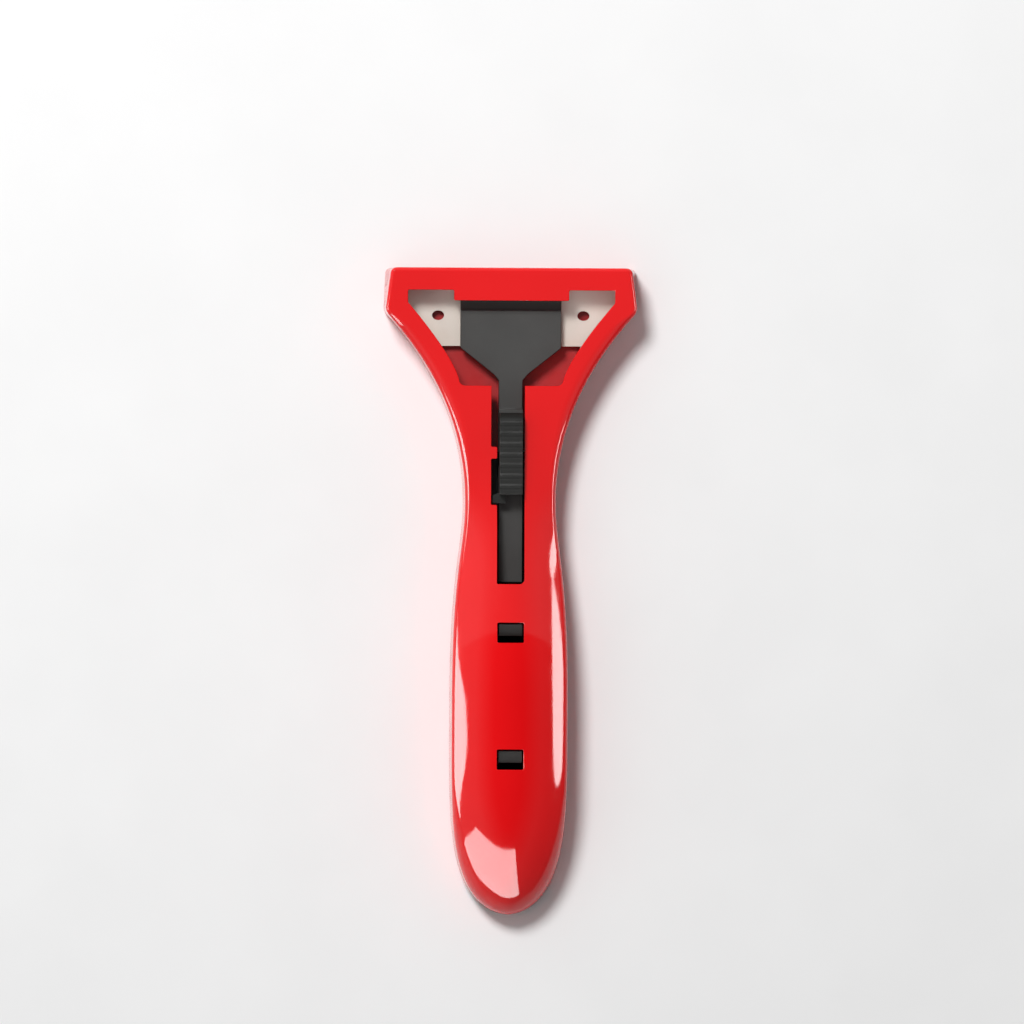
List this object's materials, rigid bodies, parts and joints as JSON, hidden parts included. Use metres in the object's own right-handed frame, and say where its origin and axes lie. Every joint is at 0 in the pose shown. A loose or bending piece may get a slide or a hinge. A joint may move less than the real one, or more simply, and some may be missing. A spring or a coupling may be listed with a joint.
{
  "type": "retractable window scraper",
  "caption": "Hand scraper with a wide head, a blade that slides out on a thumb grip, and a lid over spare blades in the handle.",
  "frame": {"origin": "centre of the flat back, under the middle of the object's box", "axes": "+X across the head to the right as seen from the front, +Y from the rounded end of the handle to the cutting edge, +Z from the flat back to the front"},
  "size_m": [0.0508, 0.1293, 0.0158],
  "materials": {
    "red_plastic": "glossy moulded plastic",
    "black_plastic": "satin moulded plastic",
    "blade_steel": "ground blade steel",
    "screw_steel": "plated steel"
  },
  "bodies": {
    "handle": {"front_shell": "red_plastic", "head_back_plate": "red_plastic", "back_screw_left": "screw_steel", "back_screw_right": "screw_steel", "rear_cover": "black_plastic", "spare_blade_1": "blade_steel", "spare_blade_2": "blade_steel"},
    "blade_slide": {"slide_carriage": "black_plastic", "thumb_button": "black_plastic", "detent_spring": "black_plastic", "blade_clamp": "screw_steel", "scraper_blade": "blade_steel"},
    "lid": {"storage_lid": "black_plastic"}
  },
  "joints": [
    {"name": "blade_travel", "type": "slide", "parent": "handle", "child": "blade_slide", "axis": [0, 1, 0], "range_m": [0, 0.0116], "deforming": ["detent_spring"]},
    {"name": "lid_travel", "type": "slide", "parent": "handle", "child": "lid", "axis": [0, -1, 0], "range_m": [0, 0.0456]}
  ]
}
